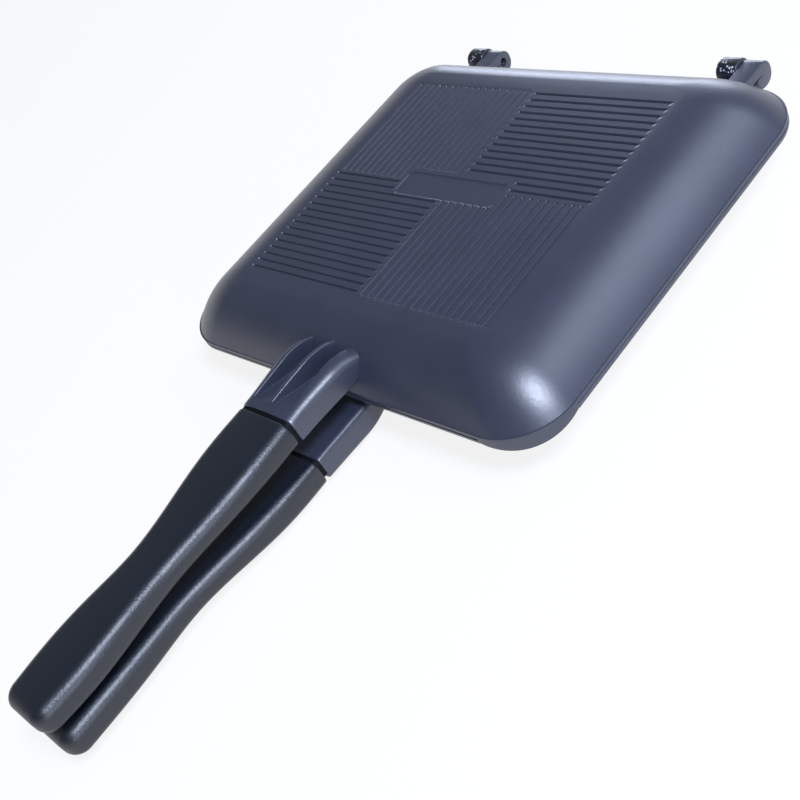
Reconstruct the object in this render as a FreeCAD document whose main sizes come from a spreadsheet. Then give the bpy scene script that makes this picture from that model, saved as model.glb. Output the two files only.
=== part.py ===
import FreeCAD, Part
import os
import re

import Sketcher
from FreeCAD import Placement, Rotation, Vector

# A hinged camping pan pair: two cast pans that close into one iron, each with a neck and a grip.
#
# Both halves are drawn in one frame, the half frame. Its Z = 0 is the parting plane between
# the pans, +Z points out through the pan's floor, +Y points away from the grips towards the
# hinge, and X = 0 is the middle. The upper half is only lifted to the parting height. The
# lower half is the same half turned over about Y, so what is on the right in the half frame
# stands on the left there.
#
# In the finished part the origin is the middle of the lower pan's flat base, with +Z up.

SIZES = [
    # pan
    ("pan_width", 210.0, "rim to rim across X"),
    ("pan_length", 187.0, "rim to rim along Y"),
    ("pan_depth", 20.6, "parting plane to the flat outer face"),
    ("parting_gap", 0.3, "between the two closed rims"),
    ("lip_height", 1.8, "height of the rim's upright edge"),
    ("lip_ledge", 0.5, "step from the rim's edge to the foot of the dome"),
    ("lip_bevel", 0.4, "bevel on the rim's meeting edge"),
    ("rim_radius", 25.8, "rim corner radius"),
    ("crown_radius", 8.0, "corner radius of the flat outer face"),
    ("dome_run_side", 32.6, "foot of the dome to the flat face, across X"),
    ("dome_run_end", 23.7, "foot of the dome to the flat face, along Y"),
    ("foot_angle", 32.0, "slope of the dome at its foot, degrees"),
    ("crown_angle", 4.0, "slope of both walls where they meet their flat face, degrees"),
    ("rim_land", 6.0, "width of the meeting face"),
    ("cavity_depth", 16.8, "parting plane to the cooking face"),
    ("cavity_run_side", 30.0, "cavity wall, across X"),
    ("cavity_run_end", 21.5, "cavity wall, along Y"),
    ("cavity_angle", 52.0, "slope of the cavity wall at the rim, degrees"),
    ("cavity_floor_radius", 9.0, "corner radius of the cooking face"),
    # grooves in the outer face
    ("groove_pitch", 4.0, "groove to groove"),
    ("groove_width", 1.1, "across one groove"),
    ("groove_depth", 0.8, "into the outer face"),
    ("groove_inset_side", 35.8, "side of the rim to the grooves' outer ends"),
    ("groove_inset_end", 32.3, "end of the rim to the grooves' outer ends"),
    ("groove_middle_gap", 1.3, "middle line to the grooves' inner ends"),
    ("column_start", 2.2, "middle line to the first groove along Y"),
    ("column_pitch", 4.05, "groove to groove, for the grooves along Y"),
    ("plate_reach_side", 29.4, "middle to the side edges of the bare plate between the grooves"),
    ("plate_reach_far", 9.2, "middle to its far edge"),
    ("plate_reach_near", 6.9, "middle to its near edge"),
    ("recess_width", 55.0, "shallow recess in the upper pan's plate, across X"),
    ("recess_length", 13.2, "the same along Y"),
    ("recess_depth", 0.35, ""),
    ("recess_corner", 2.0, "corner radius"),
    # neck
    ("neck_width", 31.2, "across X"),
    ("neck_length", 28.0, "rim to the neck's front face"),
    ("neck_underside", 5.8, "parting plane to the neck"),
    ("neck_front_height", 17.2, "parting plane to the top of the front face"),
    ("neck_crest_height", 19.2, "parting plane to the crest by the rim"),
    ("neck_crest_inset", 2.6, "rim to the crest"),
    ("neck_root_depth", 14.0, "rim to the neck's end inside the dome"),
    ("neck_root_height", 14.2, "top of the neck at that end"),
    ("neck_crest_radius", 14.0, "rounding over the crest"),
    ("neck_shoulder", 4.6, "rounding along the outer top edges"),
    ("neck_inner_radius", 2.8, "rounding along the edges that face the other half"),
    ("neck_band", 4.4, "front face to the start of the channels"),
    ("channel_step", 0.8, "depth of the channels where they start"),
    ("fin_thickness", 2.2, "middle fin"),
    ("wall_thickness", 4.9, "side walls of the neck, beside the channels"),
    ("channel_floor", 8.4, "parting plane to the channels' deep end"),
    ("channel_deep_end", 7.5, "rim to the channels' deep end, inside the dome"),
    # hinge
    ("hinge_setback", 10.5, "rim to the hinge axis"),
    ("lug_joint_inset", 36.0, "side of the rim to the plane where two lugs meet"),
    ("lug_width", 9.3, "one lug and half the gap beside it"),
    ("lug_gap", 0.3, "between two lugs"),
    ("lug_outer_height", 4.8, "hinge axis to the lug's outer face"),
    ("lug_inner_height", 5.8, "hinge axis to the lug's cooking side"),
    ("lug_end", 5.4, "hinge axis to the lug's rounded end"),
    ("lug_heel", 4.8, "hinge axis to the lug's heel, on the pan side"),
    ("lug_root_depth", 5.0, "rim to the lug's end inside the wall"),
    ("lug_radius", 4.7, "rounding of the lug's end"),
    ("lug_heel_radius", 4.2, "rounding of the lug's heel"),
    ("pin_diameter", 4.0, "hinge pin"),
    ("pin_clearance", 0.05, "radial, pin in its bores"),
    ("pin_seat", 7.4, "length of pin held in its own lug"),
    ("pin_reach", 7.0, "length of pin that stands out of its own lug"),
    ("pin_chamfer", 0.5, "at both pin ends"),
    # corner skirt, which hides the parting line at one front corner
    ("skirt_thickness", 2.0, "skirt wall"),
    ("skirt_drop", 5.0, "parting plane to the skirt's lowest point"),
    ("skirt_end_drop", 1.6, "parting plane to the skirt's edge at both ends"),
    ("skirt_clearance", 0.4, "skirt to the other pan"),
    # tang
    ("tang_width", 14.0, "flat steel bar, across X"),
    ("tang_thickness", 3.0, "flat steel bar"),
    ("tang_level", 8.4, "parting plane to the bar"),
    ("tang_socket_depth", 18.0, "bar inside the neck"),
    ("tang_grip_depth", 112.0, "bar inside the grip"),
    ("tang_corner", 3.0, "corner radius of the bar's ends"),
    # spacer between neck and grip
    ("spacer_thickness", 1.8, "along Y"),
    ("spacer_inset", 1.1, "back from the neck's outline"),
    ("spacer_radius", 2.4, "corner radius"),
    # grip
    ("grip_length", 136.5, "spacer to the rounded end"),
    ("grip_end_round", 7.0, "length of the rounded end"),
    ("grip_end_side", 6.0, "how far the sides draw in at the end"),
    ("grip_end_face", 4.6, "how far top and inner face draw in at the end"),
    ("grip_outer_radius", 5.6, "long edges on the outside"),
    ("grip_inner_radius", 4.4, "long edges on the inner side"),
    ("grip_root_inner_radius", 3.2, "the same beside the spacer"),
    ("grip_root_half_width", 15.7, "at the spacer"),
    ("grip_root_top", 17.4, "outer side above the parting plane"),
    ("grip_root_inner", 5.6, "inner side above the parting plane"),
    ("grip_shoulder_half_width", 15.9, "before the taper"),
    ("grip_shoulder_top", 16.7, ""),
    ("grip_shoulder_inner", 4.8, ""),
    ("grip_taper_half_width", 14.1, "in the taper"),
    ("grip_taper_top", 15.2, ""),
    ("grip_taper_inner", 4.1, ""),
    ("grip_waist_half_width", 11.9, "at the waist"),
    ("grip_waist_top", 14.1, ""),
    ("grip_waist_inner", 3.2, ""),
    ("grip_swell_half_width", 12.6, "in the swell"),
    ("grip_swell_top", 14.8, ""),
    ("grip_swell_inner", 2.5, ""),
    ("grip_palm_half_width", 13.3, "at the widest"),
    ("grip_palm_top", 14.8, ""),
    ("grip_palm_inner", 1.9, ""),
    ("grip_end_half_width", 13.1, "where the rounded end starts"),
    ("grip_end_top", 14.6, ""),
    ("grip_end_inner", 1.8, ""),
    # screws, magnet and magnet cover
    ("screw_diameter", 4.0, "shank, threaded into the tang"),
    ("screw_clearance", 0.2, "radial, shank in pan or grip"),
    ("sunk_head_diameter", 7.6, "countersunk head in the neck"),
    ("sunk_head_height", 2.0, "countersunk head in the neck"),
    ("neck_screw_setback", 10.0, "neck's front face to its screw"),
    ("pan_head_diameter", 7.0, "head of the grip's screw"),
    ("pan_head_height", 2.4, "head of the grip's screw"),
    ("head_clearance", 0.3, "radial, head in the grip"),
    ("grip_screw_seat", 2.4, "plastic between the screw's head and the tang"),
    ("magnet_diameter", 10.0, "disc magnet"),
    ("magnet_thickness", 3.0, "disc magnet"),
    ("magnet_setback", 13.5, "the grip's end to the magnet's axis"),
    ("magnet_clearance", 0.1, "radial, in the grip"),
    ("cover_thickness", 1.0, "plastic disc over the magnet"),
    ("cover_recess", 0.2, "cover below the grip's inner face"),
    # one overrun for every cut
    ("cut_overrun", 2.0, "how far a cut runs past what it cuts"),
]

# Where the grip's sections stand, as shares of its length, and the sizes that each one has.
GRIP_STATION_SHARES = (
    ("root", 0.0),
    ("shoulder", 0.17),
    ("taper", 0.34),
    ("waist", 0.53),
    ("swell", 0.72),
    ("palm", 0.88),
    ("end", 1.0),
)
# Sections of the rounded end, as shares of its length, and how much smaller its corners get.
END_ROUND_SHARES = (0.0, 0.45, 0.75, 0.93, 1.0)
END_CORNER_SHARE = 0.7
# Place of the grip's screw, as a share of the tang's run inside the grip.
GRIP_SCREW_SHARE = 0.6
# Steps of the lofted walls, from the foot up to the flat face.
WALL_STEPS = 5
# Degrees from the pan's side to the middle of its corner.
DIAGONAL = 45

ROWS_FAR = 15               # grooves along X in the far right quarter
ROWS_NEAR = 16              # grooves along X in the near left quarter
COLUMNS = 17                # grooves along Y in each of the other two quarters
ROWS_BESIDE_PLATE = 2       # of the rows in each quarter, these are cut short by the plate
COLUMNS_BESIDE_PLATE = 7    # of the columns in each quarter, these are cut short by the plate

doc = FreeCAD.newDocument("PieIron")
sheet = doc.addObject("Spreadsheet::Sheet", "Sizes")
for row, (alias, size, note) in enumerate(SIZES, start=1):
    sheet.set("A%d" % row, alias)
    sheet.set("B%d" % row, str(size))
    sheet.set("C%d" % row, note)
    sheet.setAlias("B%d" % row, alias)
doc.recompute()


# Expressions

def bound(text):
    """Turn a formula in size names into an expression that reads the sheet."""
    return re.sub(r"[a-z]+(?:_[a-z]+)+", lambda found: "Sizes." + found.group(0), text)


def number(text):
    """The present value of a formula in size names."""
    return float(sheet.evalExpression(bound(text)))


def bind(thing, prop, text):
    thing.setExpression(prop, bound(text))


# Sketches

def new_body(label):
    body = doc.addObject("PartDesign::Body", label)
    body.Label = label
    return body


def copy_body(source, label):
    """A body that starts as a copy of another one."""
    body = new_body(label)
    base = doc.addObject("PartDesign::FeatureBase", label + "_base")
    base.BaseFeature = source
    body.Group = [base]
    body.Tip = base
    doc.recompute()
    return body


def origin_part(body, role):
    return next(item for item in body.Origin.OriginFeatures if item.Role == role)


def new_sketch(body, name, role, offset="0"):
    """A sketch on one of the body's origin planes, moved along the plane's normal."""
    sketch = body.newObject("Sketcher::SketchObject", body.Label + "_" + name)
    sketch.AttachmentSupport = [(origin_part(body, role), "")]
    sketch.MapMode = "FlatFace"
    bind(sketch, "AttachmentOffset.Base.z", offset)
    return sketch


def datum(sketch, kind, text, *where):
    """Add one dimension to a sketch and bind it to its formula."""
    index = sketch.addConstraint(Sketcher.Constraint(kind, *where, number(text)))
    bind(sketch, "Constraints[%d]" % index, text)


def pin_point(sketch, geometry, end, point):
    """Hold one end of a line at a place given by two formulas."""
    datum(sketch, "DistanceX", point[0], -1, 1, geometry, end)
    datum(sketch, "DistanceY", point[1], -1, 1, geometry, end)


def unit_step(start, stop):
    """The direction along an outline's edge that is parallel to X or Y."""
    along_x = number(stop[0]) - number(start[0])
    along_y = number(stop[1]) - number(start[1])
    if abs(along_x) > abs(along_y):
        return (1 if along_x > 0 else -1, 0)
    return (0, 1 if along_y > 0 else -1)


def moved(point, radius, *directions):
    """A point moved by the radius along each direction, as formulas."""
    x_text = "(" + point[0] + ")"
    y_text = "(" + point[1] + ")"
    for across, up in directions:
        x_text += " + (%s) * (%d)" % (radius, across)
        y_text += " + (%s) * (%d)" % (radius, up)
    return (x_text, y_text)


def reverse(direction):
    return (-direction[0], -direction[1])


def place(point):
    return Vector(number(point[0]), number(point[1]), 0)


def draw_outline(sketch, corners):
    """Draw a closed outline. A corner is (x, y) or, between square edges, (x, y, radius)."""
    count = len(corners)
    line_starts = []
    line_stops = []
    bends = []
    for index, corner in enumerate(corners):
        point = corner[:2]
        if len(corner) == 2:
            line_starts.append(point)
            line_stops.append(point)
            bends.append(None)
            continue
        arriving = unit_step(corners[index - 1], corner)
        leaving = unit_step(corner, corners[(index + 1) % count])
        radius = corner[2]
        line_stops.append(moved(point, radius, reverse(arriving)))
        line_starts.append(moved(point, radius, leaving))
        centre = moved(point, radius, reverse(arriving), leaving)
        turns_left = arriving[0] * leaving[1] - arriving[1] * leaving[0] > 0
        bends.append((centre, radius, turns_left))
    lines = []
    for index in range(count):
        start = line_starts[index]
        stop = line_stops[(index + 1) % count]
        line = sketch.addGeometry(Part.LineSegment(place(start), place(stop)), False)
        lines.append(line)
        pin_point(sketch, line, 1, start)
    for index, bend in enumerate(bends):
        before = lines[index - 1]
        after = lines[index]
        if bend is None:
            sketch.addConstraint(Sketcher.Constraint("Coincident", before, 2, after, 1))
            continue
        pin_point(sketch, before, 2, line_stops[index])
        centre, radius, turns_left = bend
        draw_bend(sketch, before, after, place(centre), radius, turns_left)


def draw_bend(sketch, before, after, centre, radius, turns_left):
    """Join the end of one line to the start of the next with an arc."""
    first = sketch.getPoint(before, 2) - centre
    last = sketch.getPoint(after, 1) - centre
    if not turns_left:
        first, last = last, first
    circle = Part.Circle(centre, Vector(0, 0, 1), number(radius))
    arc = Part.ArcOfCircle(circle, circle.parameter(centre + first), circle.parameter(centre + last))
    arc_index = sketch.addGeometry(arc, False)
    begin, finish = (1, 2) if turns_left else (2, 1)
    sketch.addConstraint(Sketcher.Constraint("Coincident", arc_index, begin, before, 2))
    sketch.addConstraint(Sketcher.Constraint("Coincident", arc_index, finish, after, 1))
    datum(sketch, "Radius", radius, arc_index)


def draw_box(sketch, left, right, low, high, *radii):
    """A box outline. One radius serves all corners, and two serve the low and the high ones."""
    low_radius = radii[:1]
    high_radius = radii[-1:]
    draw_outline(sketch, [
        (left, low) + low_radius,
        (right, low) + low_radius,
        (right, high) + high_radius,
        (left, high) + high_radius,
    ])


def draw_circle(sketch, point, radius):
    circle = sketch.addGeometry(Part.Circle(place(point), Vector(0, 0, 1), number(radius)), False)
    pin_point(sketch, circle, 3, point)
    datum(sketch, "Radius", radius, circle)


# Features

def pad(body, sketch, length, both_ways=False):
    feature = body.newObject("PartDesign::Pad", sketch.Name + "_pad")
    feature.Profile = sketch
    bind(feature, "Length", length)
    feature.Midplane = both_ways
    doc.recompute()
    return feature


def pocket(body, sketch, length, both_ways=False):
    """Cut against the sketch's normal, and make sure that it removed something."""
    before = body.Shape.Volume
    feature = body.newObject("PartDesign::Pocket", sketch.Name + "_pocket")
    feature.Profile = sketch
    bind(feature, "Length", length)
    feature.Midplane = both_ways
    doc.recompute()
    require_less(body, before, feature.Name)
    return feature


def require_less(body, before, name):
    if not body.Shape.Volume < before:
        raise RuntimeError(name + " removed nothing")


def loft(body, name, kind, sketches):
    feature = body.newObject("PartDesign::" + kind, body.Label + "_" + name)
    feature.Profile = sketches[0]
    feature.Sections = sketches[1:]
    feature.Ruled = False
    doc.recompute()
    return feature


def revolve(body, sketch, kind, axis):
    feature = body.newObject("PartDesign::" + kind, sketch.Name + "_turned")
    feature.Profile = sketch
    feature.ReferenceAxis = (sketch, [axis])
    feature.Angle = 360
    doc.recompute()
    return feature


def repeat(body, feature, role, length, count):
    pattern = body.newObject("PartDesign::LinearPattern", feature.Name + "_row")
    pattern.Originals = [feature]
    pattern.Direction = (origin_part(body, role), [""])
    bind(pattern, "Length", length)
    pattern.Occurrences = count
    body.Tip = pattern
    doc.recompute()
    return pattern


def dress(body, kind, name, size_prop, size, chosen):
    """Fillet or chamfer the edges of the body that the test picks."""
    base = body.Tip
    edges = ["Edge%d" % (index + 1) for index, edge in enumerate(base.Shape.Edges) if chosen(edge)]
    if not edges:
        raise RuntimeError("no edges for " + name)
    feature = body.newObject("PartDesign::" + kind, body.Label + "_" + name)
    feature.Base = (base, edges)
    bind(feature, size_prop, size)
    doc.recompute()
    return feature


def near(first, second):
    return abs(first - second) < number("parting_gap") / 10


# Pan

LIP_TOP = "(parting_gap / 2 + lip_height)"
HALF_WIDTH = "(pan_width / 2)"
HALF_LENGTH = "(pan_length / 2)"
HINGE_Y = "(pan_length / 2 + hinge_setback)"
NECK_FRONT = "(pan_length / 2 + neck_length)"
CORNER_X = "(pan_width / 2 - rim_radius)"
CORNER_Y = "(pan_length / 2 - rim_radius)"
LUG_JOINT = "(pan_width / 2 - lug_joint_inset)"
GROOVE_SIDE = "(pan_width / 2 - groove_inset_side)"
GROOVE_END = "(pan_length / 2 - groove_inset_end)"


def wall_share(angle, part_up):
    """How far in, and how far up, an arc has come that starts steep and ends almost level."""
    slope = "(%s + (crown_angle - %s) * %s)" % (angle, angle, part_up)
    inward = "((sin(%s) - sin(%s)) / (sin(%s) - sin(crown_angle)))" % (angle, slope, angle)
    upward = "((cos(%s) - cos(%s)) / (cos(crown_angle) - cos(%s)))" % (slope, angle, angle)
    return inward, upward


def wall_sections(body, name, angle, inset, runs, levels, radii):
    """Rounded rectangles for a lofted wall that curves from the rim over to a flat face."""
    sketches = []
    for step in range(WALL_STEPS + 1):
        inward, upward = wall_share(angle, str(step / WALL_STEPS))
        half_x = "(%s - %s - %s * %s)" % (HALF_WIDTH, inset, runs[0], inward)
        half_y = "(%s - %s - %s * %s)" % (HALF_LENGTH, inset, runs[1], inward)
        level = "(%s + (%s - %s) * %s)" % (levels[0], levels[1], levels[0], upward)
        radius = "(%s + (%s - %s) * %s)" % (radii[0], radii[1], radii[0], inward)
        sketch = new_sketch(body, "%s_%d" % (name, step), "XY_Plane", level)
        draw_box(sketch, "-" + half_x, half_x, "-" + half_y, half_y, radius)
        sketches.append(sketch)
    return sketches


def add_neck(body):
    side = new_sketch(body, "neck", "YZ_Plane")
    root = "-(%s - neck_root_depth)" % HALF_LENGTH
    crest = "-(%s - neck_crest_inset)" % HALF_LENGTH
    draw_outline(side, [
        ("-" + NECK_FRONT, "neck_underside"),
        (root, "neck_underside"),
        (root, "neck_root_height"),
        (crest, "neck_crest_height"),
        ("-" + NECK_FRONT, "neck_front_height"),
    ])
    pad(body, side, "neck_width", both_ways=True)

    def is_crest(edge):
        return all(near(point.Z, number("neck_crest_height")) for point in edge.Vertexes)

    dress(body, "Fillet", "crest", "Radius", "neck_crest_radius", is_crest)

    def is_shoulder(edge):
        return is_long_side_edge(edge) and edge.BoundBox.ZMin > number("neck_underside + neck_shoulder")

    dress(body, "Fillet", "shoulders", "Radius", "neck_shoulder", is_shoulder)

    def is_inner_edge(edge):
        return is_long_side_edge(edge) and near(edge.BoundBox.ZMax, number("neck_underside"))

    dress(body, "Fillet", "inner_edges", "Radius", "neck_inner_radius", is_inner_edge)


def is_long_side_edge(edge):
    """True for an edge of the neck that runs lengthwise in one of its side faces."""
    ends = edge.Vertexes
    in_side = all(near(abs(point.X), number("neck_width / 2")) for point in ends)
    return in_side and not near(ends[0].Y, ends[-1].Y)


def cut_channels(body):
    """Two sloping pockets, which leave a middle fin and two side walls."""
    start = "-(%s - neck_band)" % NECK_FRONT
    deep = "-(%s - channel_deep_end)" % HALF_LENGTH
    stop = "-(%s - neck_root_depth - cut_overrun)" % HALF_LENGTH
    sky = "(neck_crest_height + cut_overrun)"
    width = "(neck_width / 2 - wall_thickness - fin_thickness / 2)"
    for name, face in (("right_channel", "(neck_width / 2 - wall_thickness)"),
                       ("left_channel", "-(fin_thickness / 2)")):
        sketch = new_sketch(body, name, "YZ_Plane", face)
        draw_outline(sketch, [
            (start, "neck_front_height - channel_step"),
            (deep, "channel_floor"),
            (stop, "channel_floor"),
            (stop, sky),
            (start, sky),
        ])
        pocket(body, sketch, width)


def add_rim(body):
    sketch = new_sketch(body, "lip", "XY_Plane", "parting_gap / 2")
    draw_box(sketch, "-" + HALF_WIDTH, HALF_WIDTH, "-" + HALF_LENGTH, HALF_LENGTH, "rim_radius")
    pad(body, sketch, "lip_height")
    level = number("parting_gap / 2")

    def is_meeting_edge(edge):
        return all(near(point.Z, level) for point in edge.Vertexes)

    dress(body, "Chamfer", "lip_edge", "Size", "lip_bevel", is_meeting_edge)


def add_dome(body):
    loft(body, "dome", "AdditiveLoft", wall_sections(
        body, "dome", "foot_angle", "lip_ledge", ("dome_run_side", "dome_run_end"),
        (LIP_TOP, "pan_depth"), ("rim_radius", "crown_radius")))


def cut_cavity(body):
    before = body.Shape.Volume
    loft(body, "cavity", "SubtractiveLoft", wall_sections(
        body, "cavity", "cavity_angle", "rim_land", ("cavity_run_side", "cavity_run_end"),
        ("parting_gap / 2", "cavity_depth"), ("(rim_radius - rim_land)", "cavity_floor_radius")))
    require_less(body, before, "cavity")


def add_lug(body, name, near_side, far_side):
    """A hinge lug between two X values: a root in the rim's wall and a boss round the axis."""
    sketch = new_sketch(body, name, "YZ_Plane", near_side)
    root = "(%s - lug_root_depth)" % HALF_LENGTH
    heel = "(%s - lug_heel)" % HINGE_Y
    tip = "(%s + lug_end)" % HINGE_Y
    draw_outline(sketch, [
        (root, "parting_gap / 2"),
        (heel, "parting_gap / 2"),
        (heel, "-lug_inner_height", "lug_heel_radius"),
        (tip, "-lug_inner_height", "lug_radius"),
        (tip, "lug_outer_height", "lug_radius"),
        (root, "lug_outer_height"),
    ])
    pad(body, sketch, "(%s) - (%s)" % (far_side, near_side))


def add_lugs(body):
    """The left lug takes the other half's pin, and the right lug holds this half's own."""
    bore = "(pin_diameter / 2 + pin_clearance)"
    near_face = "(%s + lug_gap / 2)" % LUG_JOINT
    free_face = "-(%s - lug_width)" % LUG_JOINT
    add_lug(body, "left_lug", "-(%s - lug_gap / 2)" % LUG_JOINT, free_face)
    through = new_sketch(body, "left_bore", "YZ_Plane", free_face + " + cut_overrun")
    draw_circle(through, (HINGE_Y, "0"), bore)
    pocket(body, through, "lug_width + 2 * cut_overrun")

    add_lug(body, "right_lug", near_face, "(%s + lug_width)" % LUG_JOINT)
    blind = new_sketch(body, "right_bore", "YZ_Plane", near_face + " + pin_seat")
    draw_circle(blind, (HINGE_Y, "0"), bore)
    pocket(body, blind, "pin_seat + cut_overrun")


def draw_corner_band(sketch, side, inner, outer):
    """A quarter ring round a front corner of the rim, on the left (-1) or the right (1)."""
    centre_x = "(%s * (%d))" % (CORNER_X, side)
    centre_y = "(-%s)" % CORNER_Y
    front_out = (centre_x, "(%s - (%s))" % (centre_y, outer))
    front_in = (centre_x, "(%s - (%s))" % (centre_y, inner))
    side_out = ("(%s + (%s) * (%d))" % (centre_x, outer, side), centre_y)
    side_in = ("(%s + (%s) * (%d))" % (centre_x, inner, side), centre_y)
    front = sketch.addGeometry(Part.LineSegment(place(front_in), place(front_out)), False)
    end = sketch.addGeometry(Part.LineSegment(place(side_out), place(side_in)), False)
    for line, first, last in ((front, front_in, front_out), (end, side_out, side_in)):
        pin_point(sketch, line, 1, first)
        pin_point(sketch, line, 2, last)
    centre = place((centre_x, centre_y))
    draw_bend(sketch, front, end, centre, outer, side > 0)
    draw_bend(sketch, end, front, centre, inner, side < 0)


def add_corner_skirt(body):
    """A wall that hangs from the right front corner of the rim, lowest in its middle."""
    sketch = new_sketch(body, "skirt", "XY_Plane", "-skirt_drop")
    draw_corner_band(sketch, 1, "rim_radius - skirt_thickness", "rim_radius")
    pad(body, sketch, "skirt_drop + %s - lip_bevel" % LIP_TOP)

    trim = new_sketch(body, "skirt_trim", "XZ_Plane")
    trim.AttachmentOffset = Placement(Vector(0, 0, 0), Rotation(Vector(0, 1, 0), -DIAGONAL))
    centre = "((%s + %s) / sqrt(2))" % (CORNER_X, CORNER_Y)
    start = "(%s + (rim_radius - skirt_thickness) / sqrt(2) - cut_overrun)" % centre
    end = "(%s + rim_radius / sqrt(2))" % centre
    middle = "(%s + rim_radius)" % centre
    below = "-(skirt_drop + cut_overrun)"
    draw_outline(trim, [
        (start, below),
        (middle + " + cut_overrun", below),
        (middle + " + cut_overrun", "-skirt_drop"),
        (middle, "-skirt_drop"),
        (end, "-skirt_end_drop"),
        (start, "-skirt_end_drop"),
    ])
    pocket(body, trim, "4 * rim_radius", both_ways=True)


def cut_skirt_notch(body):
    """Room for the other pan's skirt, in this half's left front corner."""
    sketch = new_sketch(body, "notch", "XY_Plane", "skirt_drop + skirt_clearance")
    draw_corner_band(sketch, -1, "rim_radius - skirt_thickness - skirt_clearance",
                     "rim_radius + cut_overrun")
    pocket(body, sketch, "skirt_drop + skirt_clearance + cut_overrun")


def add_groove_set(body, name, ends, first, pitch, count, along_x):
    """Draw one groove between two ends, then repeat it at the pitch across its own direction."""
    sketch = new_sketch(body, name, "XY_Plane", "pan_depth - groove_depth")
    sides = ("%s - groove_width / 2" % first, "%s + groove_width / 2" % first)
    if along_x:
        draw_box(sketch, *ends, *sides)
    else:
        draw_box(sketch, *sides, *ends)
    groove = pad(body, sketch, "groove_depth + cut_overrun")
    repeat(body, groove, "Y_Axis" if along_x else "X_Axis", "%s * %d" % (pitch, count - 1), count)


def make_groove_tool(label):
    """Four quarters of grooves: along X far right and near left, along Y in the other two."""
    body = new_body(label)
    short = ROWS_BESIDE_PLATE
    rows = (
        # name, left end, right end, number of the first groove, count
        ("far_short_rows", "plate_reach_side", GROOVE_SIDE, 1, short),
        ("far_rows", "groove_middle_gap", GROOVE_SIDE, 1 + short, ROWS_FAR - short),
        ("near_short_rows", "-" + GROOVE_SIDE, "-plate_reach_side", 1 - short, short),
        ("near_rows", "-" + GROOVE_SIDE, "-groove_middle_gap", 1 - ROWS_NEAR, ROWS_NEAR - short),
    )
    for name, start, stop, first, count in rows:
        add_groove_set(body, name, (start, stop), "groove_pitch * (%d)" % first,
                       "groove_pitch", count, along_x=True)
    short = COLUMNS_BESIDE_PLATE
    column = "(column_start + column_pitch * %d)"
    columns = (
        # name, near end, far end, place of the first groove, count
        ("near_short_columns", "-" + GROOVE_END, "-plate_reach_near", column % 0, short),
        ("near_columns", "-" + GROOVE_END, "groove_middle_gap", column % short, COLUMNS - short),
        ("far_short_columns", "plate_reach_far", GROOVE_END, "-" + column % (short - 1), short),
        ("far_columns", "groove_middle_gap + groove_width / 2", GROOVE_END,
         "-" + column % (COLUMNS - 1), COLUMNS - short),
    )
    for name, start, stop, first, count in columns:
        add_groove_set(body, name, (start, stop), first, "column_pitch", count, along_x=False)
    return body


def cut_grooves(body):
    before = body.Shape.Volume
    feature = body.newObject("PartDesign::Boolean", body.Label + "_grooved")
    feature.Type = "Cut"
    feature.setObjects([make_groove_tool(body.Label + "_grooves")])
    doc.recompute()
    require_less(body, before, "grooves")


def cut_plate_recess(body):
    """A shallow recess in the bare plate between the grooves."""
    recess = new_sketch(body, "recess", "XY_Plane", "pan_depth + cut_overrun")
    draw_box(recess, "-recess_width / 2", "recess_width / 2", "-recess_length / 2",
             "recess_length / 2", "recess_corner")
    pocket(body, recess, "recess_depth + cut_overrun")


def cut_tang_socket(body):
    """A slot for the tang in the neck's front face, and a countersunk hole below it."""
    slot = new_sketch(body, "socket", "XZ_Plane", NECK_FRONT)
    draw_box(slot, "-tang_width / 2", "tang_width / 2", "tang_level", "tang_level + tang_thickness")
    pocket(body, slot, "tang_socket_depth")
    before = body.Shape.Volume
    hole = turned_sketch(body, "screw_hole", "YZ_Plane", NECK_SCREW_Y)
    draw_sunk_screw(hole, "screw_clearance", "tang_level + tang_thickness / 2", "cut_overrun")
    revolve(body, hole, "Groove", "V_Axis")
    require_less(body, before, "screw hole")


def make_casting():
    """Everything that both pans have in common but the grooves."""
    body = new_body("casting")
    add_neck(body)
    cut_channels(body)
    add_rim(body)
    add_dome(body)
    add_lugs(body)
    cut_cavity(body)
    cut_tang_socket(body)
    return body


def make_upper_pan():
    body = copy_body(casting, "upper_pan")
    add_corner_skirt(body)
    cut_plate_recess(body)
    cut_grooves(body)
    return body


def make_lower_pan():
    body = copy_body(casting, "lower_pan")
    cut_skirt_notch(body)
    cut_grooves(body)
    return body


# Screws and pins

NECK_SCREW_Y = "-(%s - neck_screw_setback)" % NECK_FRONT
GRIP_START = "(%s + spacer_thickness)" % NECK_FRONT
GRIP_SCREW_Y = "-(%s + %s * tang_grip_depth)" % (GRIP_START, GRIP_SCREW_SHARE)


def turned_sketch(body, name, role, origin_along):
    """A sketch for a revolved piece, with its own origin moved along the plane's first axis."""
    sketch = new_sketch(body, name, role)
    bind(sketch, "AttachmentOffset.Base.x", origin_along)
    return sketch


def draw_sunk_screw(sketch, extra, top, below="0"):
    """Half the outline of a countersunk screw, head down in the neck's underside."""
    shank = "(screw_diameter / 2 + %s)" % extra
    head = "(sunk_head_diameter / 2 + %s)" % extra
    foot = "(neck_underside - %s)" % below
    outline = [
        ("0", foot),
        (head, foot),
        (head, "neck_underside"),
        (shank, "neck_underside + sunk_head_height"),
        (shank, top),
        ("0", top),
    ]
    if below == "0":
        del outline[2]
    draw_outline(sketch, outline)


def make_neck_screw(label):
    body = new_body(label)
    sketch = turned_sketch(body, "outline", "YZ_Plane", NECK_SCREW_Y)
    draw_sunk_screw(sketch, "0", "tang_level + tang_thickness - parting_gap")
    revolve(body, sketch, "Revolution", "V_Axis")
    return body


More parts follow.
